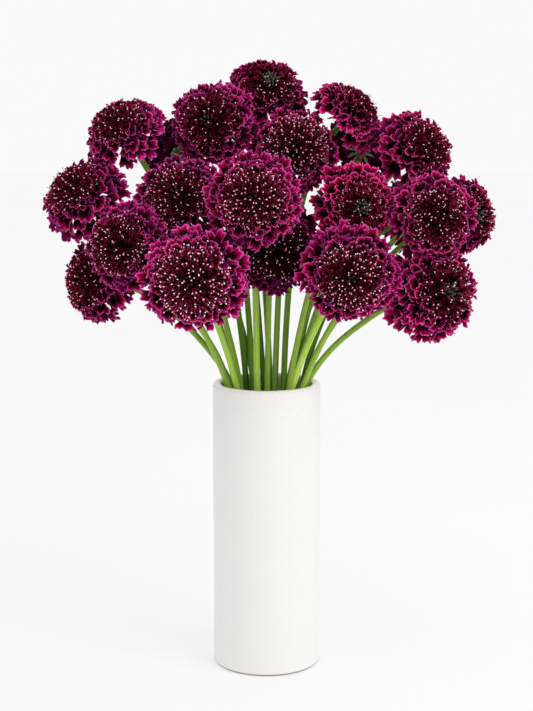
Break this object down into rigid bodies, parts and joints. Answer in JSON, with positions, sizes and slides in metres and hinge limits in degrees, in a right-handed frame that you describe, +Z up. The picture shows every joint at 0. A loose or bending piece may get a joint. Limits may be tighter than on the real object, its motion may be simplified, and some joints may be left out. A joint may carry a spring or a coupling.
{
  "type": "cut scabious flowers in a vase",
  "caption": "Dome-shaped bouquet of dark burgundy scabious (pincushion) flowers on green stems, standing in water in a plain matt white cylinder vase.",
  "frame": {"origin": "middle of the underside of the vase, on the surface that it stands on", "axes": "+Z up along the vase, -Y towards the side the bouquet faces, +X to the right as seen from there"},
  "size_m": [0.3253, 0.2169, 0.4346],
  "materials": {
    "vase": "matt white, unglazed outside",
    "water": "clear still water",
    "stem": "fresh green, finely ribbed",
    "bloom": "dark burgundy to magenta, soft"
  },
  "bodies": {
    "root": {"vase": "vase", "water": "water", "bloom_01": "bloom", "stem_01": "stem", "bloom_02": "bloom", "stem_02": "stem", "bloom_03": "bloom", "stem_03": "stem", "bloom_04": "bloom", "stem_04": "stem", "bloom_05": "bloom", "stem_05": "stem", "bloom_06": "bloom", "stem_06": "stem", "bloom_07": "bloom", "stem_07": "stem", "bloom_08": "bloom", "stem_08": "stem", "bloom_09": "bloom", "stem_09": "stem", "bloom_10": "bloom", "stem_10": "stem", "bloom_11": "bloom", "stem_11": "stem", "bloom_12": "bloom", "stem_12": "stem", "bloom_13": "bloom", "stem_13": "stem", "bloom_14": "bloom", "stem_14": "stem", "bloom_15": "bloom", "stem_15": "stem", "bloom_16": "bloom", "stem_16": "stem", "bloom_17": "bloom", "stem_17": "stem", "bloom_18": "bloom", "stem_18": "stem", "bloom_19": "bloom", "stem_19": "stem", "bloom_20": "bloom", "stem_20": "stem", "bloom_21": "bloom", "stem_21": "stem", "bloom_22": "bloom", "stem_22": "stem", "bloom_23": "bloom", "stem_23": "stem", "bloom_24": "bloom", "stem_24": "stem"}
  },
  "joints": []
}
